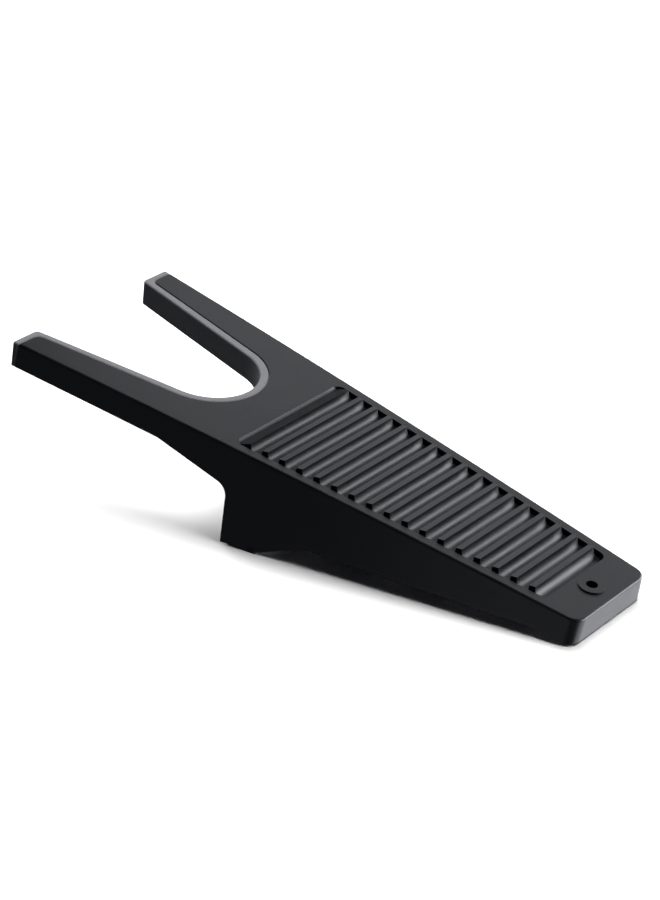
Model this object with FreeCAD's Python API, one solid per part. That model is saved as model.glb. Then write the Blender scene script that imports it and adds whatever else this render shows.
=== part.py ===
import FreeCAD
import Part
import math
import os

# Boot jack: moulded wedge with a rubber-lined U notch, a prop, a ribbed tread and a
# hanging hole. Millimetres.
#
# Two frames are used.
#   Deck frame: u along the chord of the deck from the tine tips to the tail, y across,
#   w square to the chord. The tips are at u = 0, the chord is w = 0.
#   Row frame: x along the floor, z up, floor at z = 0. During the build the tine tips
#   stand over x = 0; every piece is moved to the centre of the footprint at the end.

# ---- driving dimensions ------------------------------------------------------------
RUN = 340.0                 # floor distance that the deck chord covers
TIP_HEIGHT = 81.6           # deck height at the tine tips
TAIL_HEIGHT = 15.0          # deck height at the tail
CROWN = 1.6                 # rise of the deck over its chord at mid length
TIP_HALF = 61.75            # half width of the deck at the tips
TAIL_HALF = 31.0            # half width of the deck at the tail
TAIL_REACH = 0.8            # how far the tail stands out past the chord's end
FLARE = 0.085               # outward lean of the skirt per mm of depth
TAIL_CORNER = 7.0           # plan radius of the tail corners
EDGE_ROUND = 1.2            # rounding of the deck edge
TIP_OVERHANG = 0.85         # how far the tips stand out past the chord's end
TIP_RAKE = 0.074            # lean of the tip faces, towards the tail going down

WALL = 3.2                  # skirt thickness
DECK = 6.2                  # deck thickness, enough to carry the tread grooves
RIB = 2.4                   # stiffening rib thickness
TINE_DEPTH = 13.9           # skirt depth along the tines

NOTCH_END = 112.0           # u of the closed end of the notch, on the liner face
NOTCH_RADIUS = 27.8         # liner face radius at the closed end
NOTCH_SPLAY = 0.172         # sideways growth of the notch per mm towards the tips
NOTCH_ROUND = 1.1           # rounding of the liner's edge along the notch
SEAT_END = 116.7            # u of the closed end of the moulded seat behind the liner
SEAT_RADIUS = 33.0
SEAT_SPLAY = 0.165
SEAT_GROOVE = 0.45          # width and depth of the fine groove between liner and deck
LINER_TIP = 3.4             # u where the liner ends over the tine tips
SEAT_CORNER = 4.5           # radius of the seat corner at each tip
TIP_CORNER = 2.5            # radius of the liner corner at the notch mouth

TREAD_START = 139.0         # u of the step into the tread
TREAD_END = 325.1           # u of the rear of the tread
FIRST_RIB = 144.4           # u of the front edge of the first rib
PITCH = 10.604
RIB_COUNT = 17
TREAD_MARGIN = 5.8          # flat border left and right of the tread
TREAD_CORNER = 4.4
RIB_SHORT = 1.7             # gap between a rib's end and the side of the tread
RIB_TOP = 3.45              # width of the flat on a rib
RIB_FRONT = 1.35            # height of its front edge over the deck
RIB_BACK = 2.05             # height of its rear edge
GROOVE = 3.3                # groove depth under the deck
STEP = 1.6                  # depth of the slanted step before the first rib

HOLE_U = 334.0
HOLE_RADIUS = 3.1
RING_RADIUS = 7.0
RING_HEIGHT = 0.8

PROP_FRONT = 133.5          # x of the front of the prop foot at the floor
PROP_HEEL = 157.0
PROP_TOP = 137.0            # x of the front of the prop wall where it meets the deck
FOOT_INNER = 39.0           # y where the solid foot at each side of the prop begins
FOOT_HEIGHT = 9.0
PAD_PROUD = 1.3             # how far the pads stand out of the moulding
PAD_POCKET = 1.5            # depth of the pockets that hold them
TAIL_REST = 325.0           # x where the tail comes down on the floor
TAIL_BLOCK = 324.0          # the tail is solid behind this u
CROSS_RIBS = (30.0, 58.0, 86.0, 188.0, 233.0, 278.0)    # u of the ribs underneath

SLOPE = math.atan2(TIP_HEIGHT - TAIL_HEIGHT, RUN)
CHORD = math.hypot(TIP_HEIGHT - TAIL_HEIGHT, RUN)
FAR = 120.0                 # reach of the cutting bodies below the deck
UP = FreeCAD.Vector(0, 0, 1)
ACROSS = FreeCAD.Vector(0, 1, 0)


def vec(x, y, z):
    return FreeCAD.Vector(x, y, z)


def half_width(u):
    """Half width of the deck at station u."""
    return TIP_HALF + (TAIL_HALF - TIP_HALF) * u / CHORD


def deck(u):
    """Height of the crowned deck over its chord at station u."""
    t = u / CHORD
    return 4.0 * CROWN * t * (1.0 - t)


def on_floor(shape):
    """Turn a deck-frame shape down by the slope, into the row frame."""
    turned = shape.copy()
    turned.rotate(vec(0, 0, 0), ACROSS, math.degrees(SLOPE))
    turned.translate(vec(0, 0, TIP_HEIGHT))
    return turned


def across(points, reach=200.0):
    """Prism across the jack from a closed polygon of (along, up) points."""
    loop = [vec(a, -reach / 2.0, b) for a, b in points]
    return Part.Face(Part.makePolygon(loop + loop[:1])).extrude(vec(0, reach, 0))


def upright(wire, low, high):
    """Prism square to the deck from a wire drawn at w = 0."""
    prism = Part.Face(wire).extrude(vec(0, 0, high - low))
    prism.translate(vec(0, 0, low))
    return prism


def outline_corners(u0, u1, margin, w, flare):
    """Corners of a symmetric four-sided outline, 'margin' inside the deck edge."""
    grow = -flare * w - margin
    a = half_width(u0) + grow
    b = half_width(u1) + grow
    return [vec(u0, -a, w), vec(u1, -b, w), vec(u1, b, w), vec(u0, a, w)]


def polygon_face(corners):
    return Part.Face(Part.makePolygon(corners + corners[:1]))


def flared_block(u0, u1, margin, rake):
    """Block whose long sides lean outwards going down, parallel to the skirt. Its front
    leans back by 'rake'."""
    top = outline_corners(u0 - rake * 10.0, u1, margin, 10.0, FLARE)
    foot = outline_corners(u0 + rake * FAR, u1, margin, -FAR, FLARE)
    faces = [polygon_face(top), polygon_face(foot)]
    for i in range(4):
        j = (i + 1) % 4
        faces.append(polygon_face([foot[i], foot[j], top[j], top[i]]))
    solid = Part.Solid(Part.Shell(faces))
    return Part.Solid(solid.Shells[0])


def under_deck(offset):
    """Everything lower than the deck surface moved down by 'offset'."""
    left = vec(-30, -100, deck(0) - offset)
    start = vec(0, -100, deck(0) - offset)
    middle = vec(CHORD / 2.0, -100, deck(CHORD / 2.0) - offset)
    end = vec(CHORD, -100, deck(CHORD) - offset)
    right = vec(CHORD + 30, -100, deck(CHORD) - offset)
    low_right = vec(CHORD + 30, -100, -FAR)
    low_left = vec(-30, -100, -FAR)
    edges = [
        Part.makeLine(left, start),
        Part.Arc(start, middle, end).toShape(),
        Part.makeLine(end, right),
        Part.makeLine(right, low_right),
        Part.makeLine(low_right, low_left),
        Part.makeLine(low_left, left),
    ]
    return Part.Face(Part.Wire(edges)).extrude(vec(0, 200, 0))


def splayed_half(u, end, radius, splay):
    """Half width at station u of a U whose sides touch its round closed end."""
    turn = math.atan(splay)
    touch_u = end - radius + radius * math.sin(turn)
    return radius * math.cos(turn) + splay * (touch_u - u)


def notch_wire(end, radius, splay, mouth):
    """U outline: round closed end at 'end', splayed sides running to u = mouth."""
    touch_u = end - radius + radius * math.sin(math.atan(splay))
    touch_y = splayed_half(touch_u, end, radius, splay)
    mouth_y = splayed_half(mouth, end, radius, splay)
    edges = [
        Part.makeLine(vec(mouth, -mouth_y, 0), vec(touch_u, -touch_y, 0)),
        Part.Arc(vec(touch_u, -touch_y, 0), vec(end, 0, 0), vec(touch_u, touch_y, 0)).toShape(),
        Part.makeLine(vec(touch_u, touch_y, 0), vec(mouth, mouth_y, 0)),
        Part.makeLine(vec(mouth, mouth_y, 0), vec(mouth, -mouth_y, 0)),
    ]
    return Part.Wire(edges)


def upright_edges(shape, u, half):
    """Upright edges whose upper end lies at (u, +-half)."""
    chosen = []
    for edge in shape.Edges:
        low, high = sorted((vertex.Point for vertex in edge.Vertexes), key=lambda p: p.z)
        away = math.hypot(high.x - u, abs(high.y) - half)
        if high.z - low.z > 5.0 and away < 1.0:
            chosen.append(edge)
    return chosen


def deck_edges(shape, belongs):
    """Edges lying in the deck surface whose middle (u, |y|) passes 'belongs'."""
    chosen = []
    for edge in shape.Edges:
        first, last = edge.ParameterRange
        middle = edge.valueAt((first + last) / 2.0)
        ends = [middle] + [vertex.Point for vertex in edge.Vertexes]
        in_deck = all(abs(point.z - deck(point.x)) < 0.05 for point in ends)
        if in_deck and belongs(middle.x, abs(middle.y)):
            chosen.append(edge)
    return chosen


# ---- outer form --------------------------------------------------------------------

def skirt_profile(sole):
    """Side view of the jack between the deck and the floor, row frame."""
    fall = math.tan(SLOPE)
    tine_foot = TIP_HEIGHT - TINE_DEPTH / math.cos(SLOPE)

    def low(x):
        return tine_foot - (fall - 0.008) * x

    corner = vec(136.6, 0, 33.0)
    radius = 7.5
    slope_dir = vec(131.0 - 93.0, 0, 35.2 - low(93.0)).normalize()
    front_dir = vec(PROP_FRONT - corner.x, 0, sole - corner.z).normalize()
    opening = slope_dir.negative().getAngle(front_dir)
    reach = radius / math.tan(opening / 2.0)
    before = corner - slope_dir * reach
    after = corner + front_dir * reach
    inward = (front_dir - slope_dir).normalize()
    middle = corner + inward * (radius / math.sin(opening / 2.0) - radius)
    start = vec(93.0, 0, low(93.0))
    knee = [
        Part.makeLine(vec(-40, 0, low(-40)), start),
        Part.makeLine(start, before),
        Part.Arc(before, middle, after).toShape(),
        Part.makeLine(after, vec(PROP_FRONT, 0, sole)),
    ]
    rest = [
        vec(PROP_FRONT, 0, sole),
        vec(PROP_HEEL, 0, sole),
        vec(184.0, 0, 10.8),
        vec(311.0, 0, 5.6),
        vec(320.0, 0, 4.2),
        vec(TAIL_REST, 0, sole),
        vec(RUN + 40, 0, sole),
        vec(RUN + 40, 0, TIP_HEIGHT + 40),
        vec(-40, 0, TIP_HEIGHT + 40),
        vec(-40, 0, low(-40)),
    ]
    wire = Part.Wire(knee + [Part.makeLine(a, b) for a, b in zip(rest, rest[1:])])
    face = Part.Face(wire)
    face.translate(vec(0, -150, 0))
    return face.extrude(vec(0, 300, 0))


def outer_form():
    """Solid wedge before it is hollowed, deck frame, from the tips to the tail."""
    block = flared_block(-TIP_OVERHANG, CHORD + TAIL_REACH, 0.0, TIP_RAKE)
    corners = [e for e in block.Edges
               if min(v.Point.x for v in e.Vertexes) > CHORD - 1.0
               and abs(e.Vertexes[0].Point.z - e.Vertexes[-1].Point.z) > 50.0]
    block = block.makeFillet(TAIL_CORNER, corners)
    form = block.common(under_deck(0.0))

    def outside(u, y):
        return u > 1.0 and y > half_width(u) - 1.0 or u > CHORD - TAIL_CORNER

    return form.makeFillet(EDGE_ROUND, deck_edges(form, outside))


# ---- tread ---------------------------------------------------------------------------

def tread_outline(inset, low, corner):
    """Block over the tread's plan, its long sides moved in by 'inset'."""
    corners = outline_corners(TREAD_START, TREAD_END, TREAD_MARGIN + inset, 0.0, 0.0)
    block = upright(Part.makePolygon(corners + corners[:1]), low, 12.0)
    tall = [e for e in block.Edges if abs(e.Vertexes[0].Point.z - e.Vertexes[-1].Point.z) > 5.0]
    return block.makeFillet(corner, tall)


def tread_section():
    """Saw-toothed section of the tread along the deck: a slanted step and a ramp up to
    the first crest, then flats rising to the rear, each falling away in a hollow curve
    to the front of the next rib."""
    def at(u, w):
        return vec(u, -100, deck(u) + w)

    edges = []
    here = at(TREAD_START - 0.9, STEP)
    for i in range(RIB_COUNT):
        front = FIRST_RIB + i * PITCH
        if i == 0:
            crest = at(front + RIB_TOP, RIB_BACK)
            pit = at(TREAD_START + 0.9, -STEP)
            edges.append(Part.makeLine(here, pit))
            edges.append(Part.makeLine(pit, crest))
        else:
            brow = at(front, RIB_FRONT)
            crest = at(front + RIB_TOP, RIB_BACK)
            edges.append(Part.makeLine(here, brow))
            edges.append(Part.makeLine(brow, crest))
        hollow = at(front + RIB_TOP + 2.1, -GROOVE * 0.74)
        here = at(front + PITCH - 0.25, -GROOVE)
        edges.append(Part.Arc(crest, hollow, here).toShape())
    last = at(TREAD_END + 3.0, -GROOVE)
    first_low = at(TREAD_START - 0.9, -DECK - 1.0)
    last_low = at(TREAD_END + 3.0, -DECK - 1.0)
    edges.append(Part.makeLine(here, last))
    edges.append(Part.makeLine(last, last_low))
    edges.append(Part.makeLine(last_low, first_low))
    edges.append(Part.makeLine(first_low, at(TREAD_START - 0.9, STEP)))
    return Part.Face(Part.Wire(edges)).extrude(vec(0, 200, 0))


# ---- underside -----------------------------------------------------------------------

def underside_walls():
    """Walls left standing inside the hollow, deck frame."""
    walls = []
    seat = notch_wire(SEAT_END + WALL, SEAT_RADIUS + WALL, SEAT_SPLAY, -20.0)
    walls.append(upright(seat, -FAR, 10.0))
    walls.append(Part.makeBox(60, 200, FAR + 10, vec(TAIL_BLOCK, -100, -FAR)))
    walls.append(Part.makeBox(LINER_TIP + WALL, 200, FAR + 10, vec(0, -100, -FAR)))
    for u in CROSS_RIBS:
        walls.append(Part.makeBox(RIB, 200, FAR + 10, vec(u, -100, -FAR)))
    spine = TAIL_BLOCK - SEAT_END
    walls.append(Part.makeBox(spine, RIB, FAR + 10, vec(SEAT_END, -RIB / 2.0, -FAR)))
    return walls


def prop_walls(sole):
    """Front wall of the prop and the solid foot blocks, row frame."""
    front = across([
        (PROP_FRONT - 6.0, sole),
        (PROP_FRONT + WALL, sole),
        (PROP_TOP + WALL, 30.0),
        (PROP_TOP + WALL, 70.0),
        (PROP_TOP, 70.0),
        (PROP_TOP, 34.0),
        (PROP_FRONT - 6.0, 34.0),
    ])
    walls = [front]
    for y in (-FOOT_INNER - 31.0, FOOT_INNER):
        foot = Part.makeBox(40.0, 31.0, FOOT_HEIGHT, vec(PROP_FRONT - 8.0, y, sole))
        walls.append(foot)
    return walls


def hollow_out(form, sole):
    """Remove the underside, leaving deck, skirt, ribs, prop and tail."""
    room = flared_block(LINER_TIP + WALL, CHORD - WALL, WALL, 0.0)
    room = on_floor(room.common(under_deck(DECK)))
    for wall in underside_walls():
        room = room.cut(on_floor(wall))
    for wall in prop_walls(sole):
        room = room.cut(wall)
    return form.cut(room)


# ---- pads ----------------------------------------------------------------------------

def rounded_plate(x0, x1, y0, y1, z0, z1, radius):
    plate = Part.makeBox(x1 - x0, y1 - y0, z1 - z0, vec(x0, y0, z0))
    tall = [e for e in plate.Edges if abs(e.Vertexes[0].Point.z - e.Vertexes[-1].Point.z) > 0.5]
    return plate.makeFillet(radius, tall)


def prop_pad(side):
    y = sorted((side * 41.0, side * 51.5))
    return rounded_plate(PROP_FRONT + 2.5, PROP_HEEL - 1.2, y[0], y[1], 0.0,
                         PAD_PROUD + PAD_POCKET, 2.0)


def tail_pad():
    return rounded_plate(329.2, 335.6, -24.0, 24.0, 0.0, PAD_PROUD + PAD_POCKET, 2.0)


# ---- edges along the notch -------------------------------------------------------------

def round_liner(liner):
    """Round the liner's corners at the notch mouth and its edge along the notch."""
    mouth_half = splayed_half(-TIP_OVERHANG, NOTCH_END, NOTCH_RADIUS, NOTCH_SPLAY)
    liner = liner.makeFillet(TIP_CORNER, upright_edges(liner, -TIP_OVERHANG, mouth_half))

    def along_notch(u, y):
        edge = splayed_half(u, NOTCH_END, NOTCH_RADIUS, NOTCH_SPLAY)
        return y < edge + 1.2 or u < 0.6 and y < edge + 3.0

    return liner.makeFillet(NOTCH_ROUND, deck_edges(liner, along_notch))


def behind_seat(form, gap):
    """What of the form lies behind the liner's seat moved back by 'gap'."""
    start = LINER_TIP + gap
    outline = notch_wire(SEAT_END + gap, SEAT_RADIUS + gap, SEAT_SPLAY, start)
    tips = Part.makeBox(start + 20.0, 200, FAR + 20, vec(-20, -100, -FAR))
    block = form.cut(tips).cut(upright(outline, -FAR, 20.0))
    half = splayed_half(start, SEAT_END + gap, SEAT_RADIUS + gap, SEAT_SPLAY)
    return block.makeFillet(SEAT_CORNER, upright_edges(block, start, half))


# ---- assembly ------------------------------------------------------------------------

def build():
    sole = PAD_PROUD
    profile = skirt_profile(sole)
    outer = outer_form()

    # Body: everything behind the liner seat, with a fine groove along the seat.
    body = behind_seat(outer, 0.0)
    lip = body.cut(behind_seat(outer, SEAT_GROOVE))
    notch = notch_wire(NOTCH_END, NOTCH_RADIUS, NOTCH_SPLAY, -20.0)

    # Liner: what the notch leaves of the outer form outside the body.
    liner = round_liner(outer.cut(body).cut(upright(notch, -FAR, 20.0)))
    body = body.cut(lip.cut(under_deck(SEAT_GROOVE)))

    # Tread let into the deck, its ribs ending short of the sides.
    pocket = tread_outline(0.0, -DECK, TREAD_CORNER).cut(under_deck(GROOVE))
    body = body.cut(pocket)
    ribs = tread_outline(RIB_SHORT, -DECK + 0.5, TREAD_CORNER - RIB_SHORT)
    body = body.fuse(ribs.common(tread_section()))

    # Ring and hanging hole.
    ring = Part.makeCylinder(RING_RADIUS, RING_HEIGHT + 2.0, vec(HOLE_U, 0, deck(HOLE_U) - 2.0), UP)
    hole = Part.makeCylinder(HOLE_RADIUS, FAR, vec(HOLE_U, 0, -FAR + 20), UP)
    body = body.fuse(ring).cut(hole)

    body = on_floor(body).common(profile)
    liner = on_floor(liner).common(profile)
    body = hollow_out(body, sole)

    pads = {
        "prop_pad_left": prop_pad(1.0),
        "prop_pad_right": prop_pad(-1.0),
        "tail_pad": tail_pad(),
    }
    for pad in pads.values():
        body = body.cut(pad)
    parts = {"body_shell": body, "notch_liner": liner}
    parts.update(pads)
    return parts


def reach_along(shape):
    """Lowest and highest x of a shape, measured on its mesh."""
    points, _ = shape.tessellate(0.02)
    along = [point.x for point in points]
    return min(along), max(along)


def main():
    parts = build()
    reaches = [reach_along(shape) for shape in parts.values()]
    low = min(reach[0] for reach in reaches)
    high = max(reach[1] for reach in reaches)
    middle = (low + high) / 2.0
    print("length", round(high - low, 3), "middle", round(middle, 3))
    os.makedirs("parts", exist_ok=True)
    for name, shape in parts.items():
        shape.translate(vec(-middle, 0, 0))
        shape.exportStep("parts/" + name + ".step")
        print(name, shape.isValid(), len(shape.Solids), round(shape.Volume))


main()
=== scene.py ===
import math

import bpy
from mathutils import Matrix, Vector

# Boot jack: black moulded body, grey rubber liner round the notch, rubber pads.
# Metres. The object stands on the floor with its tail towards +X.

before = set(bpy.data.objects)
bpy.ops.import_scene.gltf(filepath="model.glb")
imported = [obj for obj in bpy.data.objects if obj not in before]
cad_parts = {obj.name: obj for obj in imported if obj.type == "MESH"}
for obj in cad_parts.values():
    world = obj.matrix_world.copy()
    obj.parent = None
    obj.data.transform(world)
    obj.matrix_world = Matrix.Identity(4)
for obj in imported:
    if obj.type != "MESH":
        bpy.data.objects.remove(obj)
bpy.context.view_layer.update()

scene = bpy.context.scene

# ---- looks and studio, in one place ------------------------------------------------
BODY_DARK = (0.0032, 0.0034, 0.0042)
BODY_PALE = (0.0056, 0.0058, 0.0070)
# painted edge highlight: paler body colour laid on sharp edges
BODY_EDGE_HIGHLIGHT = (0.014, 0.015, 0.018)
LINER_DARK = (0.098, 0.098, 0.104)
LINER_PALE = (0.126, 0.126, 0.133)
# painted edge highlight: paler liner colour laid on sharp edges
LINER_EDGE_HIGHLIGHT = (0.200, 0.200, 0.208)
PAD_BLACK = (0.0035, 0.0035, 0.0038)
PAD_DUST = (0.009, 0.009, 0.009)
# painted edge highlight: paler pad colour laid on sharp edges
PAD_EDGE_HIGHLIGHT = (0.014, 0.014, 0.014)
FLOOR_PALE = (0.9, 0.9, 0.9)

MARK_CENTRE = (-0.029, -0.006)      # faint ring left by the mould, behind the notch
MARK_RADIUS = 0.0095
MARK_WIDTH = 0.0006

WORLD_TINT = (0.82, 0.87, 1.0)
WORLD_BELOW = 0.115                 # strength of the surround below the horizon
WORLD_ABOVE = 0.012                 # and well above it
PANEL_TINT = (0.94, 0.955, 1.0)     # lamps that are mirrored in the object
LAMP_TINT = (1.0, 1.0, 1.0)         # lamps that light floor and liner

MIDDLE = (0.0, 0.0, 0.03)
FLOOR_REACH = 6.0

# name, place, aim, size (m), radiance, lights matt surfaces, is mirrored
LAMPS = (
    ("overhead", (0.15, 0.36, 1.5), MIDDLE, (2.4, 0.55), 14.0, True, False),
    ("left_fill", (-1.25, 0.40, 0.55), (-0.05, 0.0, 0.0), (1.0, 0.7), 11.0, True, False),
    ("low_right", (0.515, 0.515, -0.50), MIDDLE, (1.4, 0.78), 1.95, False, True),
    ("mid_right", (0.635, 0.635, 0.13), MIDDLE, (1.38, 0.60), 8.0, False, True),
    ("back_glow", (-0.18, 0.84, 0.57), MIDDLE, (1.1, 0.64), 0.98, False, True),
    ("near_tail", (0.09, -0.29, -0.15), (0.14, -0.035, 0.01), (0.2, 0.3), 0.25, False, True),
)

CAMERA_PLACE = (0.773533, -0.997942, 0.671253)
CAMERA_RIGHT = (0.789692, 0.613496, -0.002975)
CAMERA_UP = (-0.270807, 0.352925, 0.895605)
CAMERA_BACK = (0.550500, -0.706446, 0.444841)


# ---- node helpers ------------------------------------------------------------------

def material(name):
    """New material; returns it, its node tree and its Principled shader."""
    mat = bpy.data.materials.new(name)
    mat.use_nodes = True
    tree = mat.node_tree
    return mat, tree, tree.nodes["Principled BSDF"]


def coordinates(tree):
    return tree.nodes.new("ShaderNodeTexCoord").outputs["Object"]


def noise(tree, place, scale, detail=2.0, roughness=0.5):
    node = tree.nodes.new("ShaderNodeTexNoise")
    node.inputs["Scale"].default_value = scale
    node.inputs["Detail"].default_value = detail
    node.inputs["Roughness"].default_value = roughness
    tree.links.new(place, node.inputs["Vector"])
    return node.outputs["Fac"]


def remap(tree, value, low, high, to_low, to_high):
    """Value remapped from low..high to to_low..to_high, clamped."""
    node = tree.nodes.new("ShaderNodeMapRange")
    node.inputs["From Min"].default_value = low
    node.inputs["From Max"].default_value = high
    node.inputs["To Min"].default_value = to_low
    node.inputs["To Max"].default_value = to_high
    tree.links.new(value, node.inputs["Value"])
    return node.outputs["Result"]


def math_node(tree, operation, first, second):
    """Arithmetic on two values; each is a socket or a number."""
    node = tree.nodes.new("ShaderNodeMath")
    node.operation = operation
    for socket, value in zip(node.inputs, (first, second)):
        if isinstance(value, (int, float)):
            socket.default_value = value
        else:
            tree.links.new(value, socket)
    return node.outputs["Value"]


def blend(tree, factor, first, second):
    """Colour between two colours; each is a socket or an RGB triple."""
    node = tree.nodes.new("ShaderNodeMix")
    node.data_type = "RGBA"
    tree.links.new(factor, node.inputs["Factor"])
    for name, value in (("A", first), ("B", second)):
        socket = [s for s in node.inputs if s.name == name and s.type == "RGBA"][0]
        if isinstance(value, tuple):
            socket.default_value = (*value, 1.0)
        else:
            tree.links.new(value, socket)
    return [s for s in node.outputs if s.type == "RGBA"][0]


def bump(tree, height, distance, below=None):
    node = tree.nodes.new("ShaderNodeBump")
    node.inputs["Distance"].default_value = distance
    node.inputs["Strength"].default_value = 1.0
    tree.links.new(height, node.inputs["Height"])
    if below is not None:
        tree.links.new(below, node.inputs["Normal"])
    return node.outputs["Normal"]


def edge_highlight_mask(tree, radius, low, high):
    """0 on flat faces, 1 on edges sharper than 'radius', as the mask for a painted edge highlight;
    'low' and 'high' are the cosines of the angle between rounded and true normal where the painted
    highlight is full and nil."""
    bevel = tree.nodes.new("ShaderNodeBevel")
    bevel.samples = 4
    bevel.inputs["Radius"].default_value = radius
    true = tree.nodes.new("ShaderNodeNewGeometry")
    dot = tree.nodes.new("ShaderNodeVectorMath")
    dot.operation = "DOT_PRODUCT"
    tree.links.new(bevel.outputs["Normal"], dot.inputs[0])
    tree.links.new(true.outputs["Normal"], dot.inputs[1])
    return remap(tree, dot.outputs["Value"], high, low, 0.0, 1.0)


def ring_mark(tree, place, centre, radius, width):
    """1 on a thin ring drawn on the deck, round an axis square to the floor."""
    offset = tree.nodes.new("ShaderNodeVectorMath")
    offset.operation = "SUBTRACT"
    tree.links.new(place, offset.inputs[0])
    offset.inputs[1].default_value = (*centre, 0.0)
    flat = tree.nodes.new("ShaderNodeVectorMath")
    flat.operation = "MULTIPLY"
    tree.links.new(offset.outputs["Vector"], flat.inputs[0])
    flat.inputs[1].default_value = (1.0, 1.0, 0.0)
    size = tree.nodes.new("ShaderNodeVectorMath")
    size.operation = "LENGTH"
    tree.links.new(flat.outputs["Vector"], size.inputs[0])
    gap = math_node(tree, "ABSOLUTE", math_node(tree, "SUBTRACT", size.outputs["Value"], radius), 0.0)
    return remap(tree, gap, 0.0, width, 1.0, 0.0)


# ---- materials -----------------------------------------------------------------------

def body_plastic():
    """Black moulded plastic: fine satin grain, faint clouding, glossier sharp edges with a painted
    highlight in paler colour.
    """
    mat, tree, shader = material("body")
    place = coordinates(tree)
    clouds = noise(tree, place, 45.0, 3.0, 0.55)
    fine = noise(tree, place, 700.0, 2.0)
    grain = noise(tree, place, 2600.0, 1.0)
    edge_patches = noise(tree, place, 160.0, 4.0, 0.65)
    # painted highlight: sharp edges, in noise patches, get the paler edge colour and a lower
    # roughness
    edge_highlight = math_node(tree, "MULTIPLY", edge_highlight_mask(tree, 0.0009, 0.75, 0.98),
                     remap(tree, edge_patches, 0.4, 0.6, 0.25, 1.0))
    tone = blend(tree, remap(tree, clouds, 0.35, 0.65, 0.0, 1.0),
                 BODY_DARK, BODY_PALE)
    tone = blend(tree, edge_highlight, tone, BODY_EDGE_HIGHLIGHT)
    mark = ring_mark(tree, place, MARK_CENTRE, MARK_RADIUS, MARK_WIDTH)
    rough = remap(tree, clouds, 0.3, 0.7, 0.33, 0.40)
    rough = math_node(tree, "ADD", rough, remap(tree, fine, 0.3, 0.7, -0.02, 0.02))
    rough = math_node(tree, "SUBTRACT", rough, math_node(tree, "MULTIPLY", edge_highlight, 0.05))
    tree.links.new(tone, shader.inputs["Base Color"])
    tree.links.new(rough, shader.inputs["Roughness"])
    skin = bump(tree, grain, 0.000012)
    skin = bump(tree, fine, 0.000010, skin)
    skin = bump(tree, mark, 0.00005, skin)
    tree.links.new(skin, shader.inputs["Normal"])
    return mat


def liner_rubber():
    """Mid-grey soft rubber, matte, with fine speckle and a painted highlight in paler colour on its
    sharp edges.
    """
    mat, tree, shader = material("liner")
    place = coordinates(tree)
    speckle = noise(tree, place, 900.0, 3.0, 0.7)
    clouds = noise(tree, place, 35.0, 3.0)
    # painted highlight: sharp edges get part of the paler edge colour
    edge_highlight = edge_highlight_mask(tree, 0.0012, 0.7, 0.98)
    tone = blend(tree, remap(tree, speckle, 0.35, 0.65, 0.0, 1.0),
                 LINER_DARK, LINER_PALE)
    tone = blend(tree, math_node(tree, "MULTIPLY", edge_highlight, 0.35), tone, LINER_EDGE_HIGHLIGHT)
    rough = remap(tree, clouds, 0.3, 0.7, 0.56, 0.68)
    tree.links.new(tone, shader.inputs["Base Color"])
    tree.links.new(rough, shader.inputs["Roughness"])
    skin = bump(tree, speckle, 0.00003)
    tree.links.new(skin, shader.inputs["Normal"])
    return mat


def pad_rubber():
    """Black rubber, matte, dusty in patches, with a painted highlight in paler colour on its sharp
    edges.
    """
    mat, tree, shader = material("pads")
    place = coordinates(tree)
    dust = noise(tree, place, 120.0, 4.0, 0.6)
    speckle = noise(tree, place, 1200.0, 2.0)
    # painted highlight: sharp edges get half of the paler edge colour
    edge_highlight = edge_highlight_mask(tree, 0.0006, 0.7, 0.98)
    tone = blend(tree, remap(tree, dust, 0.45, 0.75, 0.0, 1.0),
                 PAD_BLACK, PAD_DUST)
    tone = blend(tree, math_node(tree, "MULTIPLY", edge_highlight, 0.5), tone, PAD_EDGE_HIGHLIGHT)
    tree.links.new(tone, shader.inputs["Base Color"])
    tree.links.new(remap(tree, dust, 0.3, 0.7, 0.62, 0.8), shader.inputs["Roughness"])
    tree.links.new(bump(tree, speckle, 0.00003), shader.inputs["Normal"])
    return mat


body = body_plastic()
liner = liner_rubber()
pads = pad_rubber()
for name, mat in (("body_shell", body), ("notch_liner", liner), ("prop_pad_left", pads),
                  ("prop_pad_right", pads), ("tail_pad", pads)):
    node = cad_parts[name]
    node.data.materials.clear()
    node.data.materials.append(mat)


# ---- floor and studio ------------------------------------------------------------------

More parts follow.
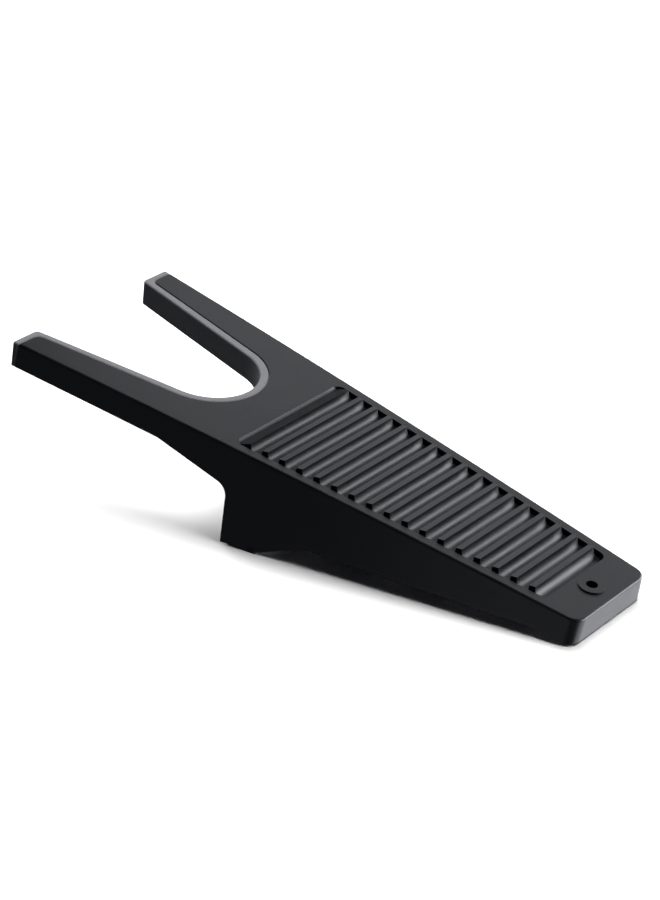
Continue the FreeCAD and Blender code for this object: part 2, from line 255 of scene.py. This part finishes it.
def floor_sheet():
    """Plain pale floor, seen by the camera only; the object mirrors the studio."""
    mesh = bpy.data.meshes.new("floor")
    far = FLOOR_REACH
    corners = [(-far, -far, 0), (far, -far, 0), (far, far, 0), (-far, far, 0)]
    mesh.from_pydata(corners, [], [(0, 1, 2, 3)])
    sheet = bpy.data.objects.new("floor", mesh)
    mat, tree, shader = material("floor")
    shader.inputs["Base Color"].default_value = (*FLOOR_PALE, 1.0)
    shader.inputs["Roughness"].default_value = 0.9
    shader.inputs["Specular IOR Level"].default_value = 0.0
    mesh.materials.append(mat)
    sheet.visible_glossy = False
    sheet.visible_diffuse = False
    sheet.visible_shadow = False
    scene.collection.objects.link(sheet)
    return sheet


def studio_world():
    """Soft surround: pale below the horizon, dark above it."""
    world = bpy.data.worlds.new("studio")
    scene.world = world
    world.use_nodes = True
    tree = world.node_tree
    way = tree.nodes.new("ShaderNodeTexCoord")
    split = tree.nodes.new("ShaderNodeSeparateXYZ")
    tree.links.new(way.outputs["Generated"], split.inputs["Vector"])
    strength = remap(tree, split.outputs["Z"], -0.1, 0.15, WORLD_BELOW, WORLD_ABOVE)
    background = tree.nodes["Background"]
    background.inputs["Color"].default_value = (*WORLD_TINT, 1.0)
    tree.links.new(strength, background.inputs["Strength"])


def area(name, where, aim, size, radiance, matt, mirrored):
    """Soft rectangular lamp, never seen by the camera itself."""
    data = bpy.data.lights.new(name, "AREA")
    data.shape = "RECTANGLE"
    data.size, data.size_y = size
    data.energy = radiance * math.pi * size[0] * size[1]
    data.color = PANEL_TINT if mirrored else LAMP_TINT
    lamp = bpy.data.objects.new(name, data)
    lamp.location = where
    lamp.rotation_euler = (Vector(aim) - Vector(where)).to_track_quat("-Z", "Y").to_euler()
    lamp.visible_camera = False
    lamp.visible_diffuse = matt
    lamp.visible_glossy = mirrored
    scene.collection.objects.link(lamp)


def camera():
    """Long lens above the tail end's near corner, looking down at the jack."""
    data = bpy.data.cameras.new("camera")
    data.sensor_fit = "HORIZONTAL"
    data.sensor_width = 36.0
    data.lens = 147.95
    data.clip_start = 0.05
    data.clip_end = 60.0
    eye = bpy.data.objects.new("camera", data)
    turn = Matrix((CAMERA_RIGHT, CAMERA_UP, CAMERA_BACK)).transposed().to_4x4()
    eye.matrix_world = Matrix.Translation(CAMERA_PLACE) @ turn
    scene.collection.objects.link(eye)
    scene.camera = eye


floor_sheet()
studio_world()
camera()
for lamp_row in LAMPS:
    area(*lamp_row)
scene.view_settings.view_transform = "Standard"
